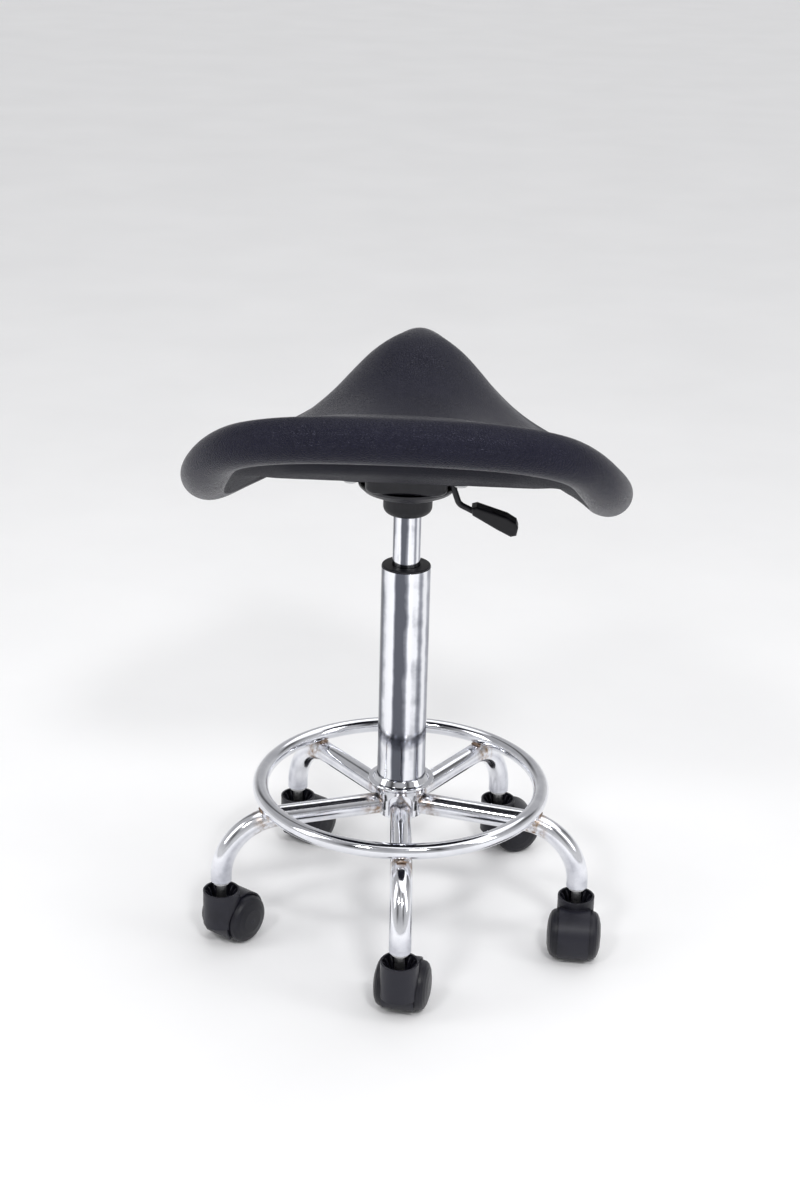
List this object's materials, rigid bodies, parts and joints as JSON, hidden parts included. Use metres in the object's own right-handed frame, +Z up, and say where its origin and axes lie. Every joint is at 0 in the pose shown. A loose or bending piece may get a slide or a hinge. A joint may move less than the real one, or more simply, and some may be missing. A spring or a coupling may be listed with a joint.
{
  "type": "dentist stool",
  "caption": "Height-adjustable saddle stool: moulded saddle seat on a gas lift, chromed tube base with foot ring and swivelling twin-wheel casters.",
  "frame": {"origin": "on the floor under the column's axis", "axes": "+Z up along the column, +Y the way the sitter faces, +X towards the sitter's right and the release lever"},
  "size_m": [0.4332, 0.4133, 0.608],
  "materials": {
    "chrome": "polished chrome plate",
    "black_plastic": "moulded black plastic",
    "zinc_steel": "zinc-plated steel",
    "bearing_steel": "ground steel",
    "rubber": "black rubber",
    "black_steel": "satin black powder coat",
    "seat_foam": "grained black polyurethane skin",
    "board": "plywood",
    "black_nylon": "moulded black nylon"
  },
  "bodies": {
    "base": {"foot_ring": "chrome", "hub_tube": "chrome", "hub_cover": "chrome", "column_tube": "chrome", "leg_1": "chrome", "leg_2": "chrome", "leg_3": "chrome", "leg_4": "chrome", "leg_5": "chrome", "guide_bush": "black_plastic", "stem_plugs": "zinc_steel", "caster_stems": "zinc_steel", "lower_race": "bearing_steel"},
    "lift_rod": {"piston_rod": "bearing_steel", "piston": "bearing_steel", "upper_race": "bearing_steel", "bearing_balls": "bearing_steel", "ball_cage": "black_plastic", "buffer_ring": "rubber", "rod_washer": "zinc_steel", "rod_clip": "bearing_steel"},
    "seat": {"gas_cylinder": "chrome", "rod_gland": "black_plastic", "taper_socket": "black_steel", "socket_collar": "black_plastic", "socket_dish": "black_steel", "mechanism_tray": "black_steel", "mechanism_plate": "black_steel", "lever_bracket": "black_steel", "lever_pin": "zinc_steel", "seat_cushion": "seat_foam", "seat_board": "board", "tee_nuts": "zinc_steel", "seat_screws": "zinc_steel"},
    "lever": {"lever_rod": "black_steel", "lever_paddle": "black_plastic"},
    "release_pin": {"release_pin": "bearing_steel"},
    "caster_1": {"caster_housing_1": "black_nylon", "caster_axle_1": "zinc_steel"},
    "wheel_left_1": {"caster_wheel_left_1": "black_nylon"},
    "wheel_right_1": {"caster_wheel_right_1": "black_nylon"},
    "caster_2": {"caster_housing_2": "black_nylon", "caster_axle_2": "zinc_steel"},
    "wheel_left_2": {"caster_wheel_left_2": "black_nylon"},
    "wheel_right_2": {"caster_wheel_right_2": "black_nylon"},
    "caster_3": {"caster_housing_3": "black_nylon", "caster_axle_3": "zinc_steel"},
    "wheel_left_3": {"caster_wheel_left_3": "black_nylon"},
    "wheel_right_3": {"caster_wheel_right_3": "black_nylon"},
    "caster_4": {"caster_housing_4": "black_nylon", "caster_axle_4": "zinc_steel"},
    "wheel_left_4": {"caster_wheel_left_4": "black_nylon"},
    "wheel_right_4": {"caster_wheel_right_4": "black_nylon"},
    "caster_5": {"caster_housing_5": "black_nylon", "caster_axle_5": "zinc_steel"},
    "wheel_left_5": {"caster_wheel_left_5": "black_nylon"},
    "wheel_right_5": {"caster_wheel_right_5": "black_nylon"}
  },
  "joints": [
    {"name": "seat_swivel", "type": "hinge", "parent": "base", "child": "lift_rod", "pos_m": [0, 0, 0.131], "axis": [0, 0, 1], "continuous": true},
    {"name": "seat_height", "type": "slide", "parent": "lift_rod", "child": "seat", "axis": [0, 0, 1], "range_m": [-0.05, 0.08]},
    {"name": "lever_lift", "type": "hinge", "parent": "seat", "child": "lever", "pos_m": [0.031, -0.03, 0.5018], "axis": [0, -1, 0], "range_deg": [0, 7], "stiffness_Nm_per_rad": 3, "springref_deg": -8.59},
    {"name": "release_press", "type": "slide", "parent": "seat", "child": "release_pin", "axis": [0, 0, 1], "range_m": [-0.0045, 0]},
    {"name": "caster_swivel_1", "type": "hinge", "parent": "base", "child": "caster_1", "pos_m": [0.0135, -0.19303, 0.05], "axis": [0, 0, 1], "continuous": true},
    {"name": "wheel_spin_left_1", "type": "hinge", "parent": "caster_1", "child": "wheel_left_1", "pos_m": [0.016, -0.1752, 0.025], "axis": [-0.9903, 0.1392, 0], "continuous": true},
    {"name": "wheel_spin_right_1", "type": "hinge", "parent": "caster_1", "child": "wheel_right_1", "pos_m": [0.016, -0.1752, 0.025], "axis": [-0.9903, 0.1392, 0], "continuous": true},
    {"name": "caster_swivel_2", "type": "hinge", "parent": "base", "child": "caster_2", "pos_m": [0.18775, -0.04681, 0.05], "axis": [0, 0, 1], "continuous": true},
    {"name": "wheel_spin_left_2", "type": "hinge", "parent": "caster_2", "child": "wheel_left_2", "pos_m": [0.18681, -0.06479, 0.025], "axis": [0.9986, -0.0523, 0], "continuous": true},
    {"name": "wheel_spin_right_2", "type": "hinge", "parent": "caster_2", "child": "wheel_right_2", "pos_m": [0.18681, -0.06479, 0.025], "axis": [0.9986, -0.0523, 0], "continuous": true},
    {"name": "caster_swivel_3", "type": "hinge", "parent": "base", "child": "caster_3", "pos_m": [0.10254, 0.1641, 0.05], "axis": [0, 0, 1], "continuous": true},
    {"name": "wheel_spin_left_3", "type": "hinge", "parent": "caster_3", "child": "wheel_left_3", "pos_m": [0.11934, 0.17055, 0.025], "axis": [-0.3584, 0.9336, 0], "continuous": true},
    {"name": "wheel_spin_right_3", "type": "hinge", "parent": "caster_3", "child": "wheel_right_3", "pos_m": [0.11934, 0.17055, 0.025], "axis": [-0.3584, 0.9336, 0], "continuous": true},
    {"name": "caster_swivel_4", "type": "hinge", "parent": "base", "child": "caster_4", "pos_m": [-0.12438, 0.14823, 0.05], "axis": [0, 0, 1], "continuous": true},
    {"name": "wheel_spin_left_4", "type": "hinge", "parent": "caster_4", "child": "wheel_left_4", "pos_m": [-0.11431, 0.16315, 0.025], "axis": [-0.829, 0.5592, 0], "continuous": true},
    {"name": "wheel_spin_right_4", "type": "hinge", "parent": "caster_4", "child": "wheel_right_4", "pos_m": [-0.11431, 0.16315, 0.025], "axis": [-0.829, 0.5592, 0], "continuous": true},
    {"name": "caster_swivel_5", "type": "hinge", "parent": "base", "child": "caster_5", "pos_m": [-0.17941, -0.07249, 0.05], "axis": [0, 0, 1], "continuous": true},
    {"name": "wheel_spin_left_5", "type": "hinge", "parent": "caster_5", "child": "wheel_left_5", "pos_m": [-0.16934, -0.05756, 0.025], "axis": [-0.829, 0.5592, 0], "continuous": true},
    {"name": "wheel_spin_right_5", "type": "hinge", "parent": "caster_5", "child": "wheel_right_5", "pos_m": [-0.16934, -0.05756, 0.025], "axis": [-0.829, 0.5592, 0], "continuous": true}
  ],
  "couplings": [
    {"joint": "release_press", "follows": "lever_lift", "m_per_rad": -0.034}
  ]
}
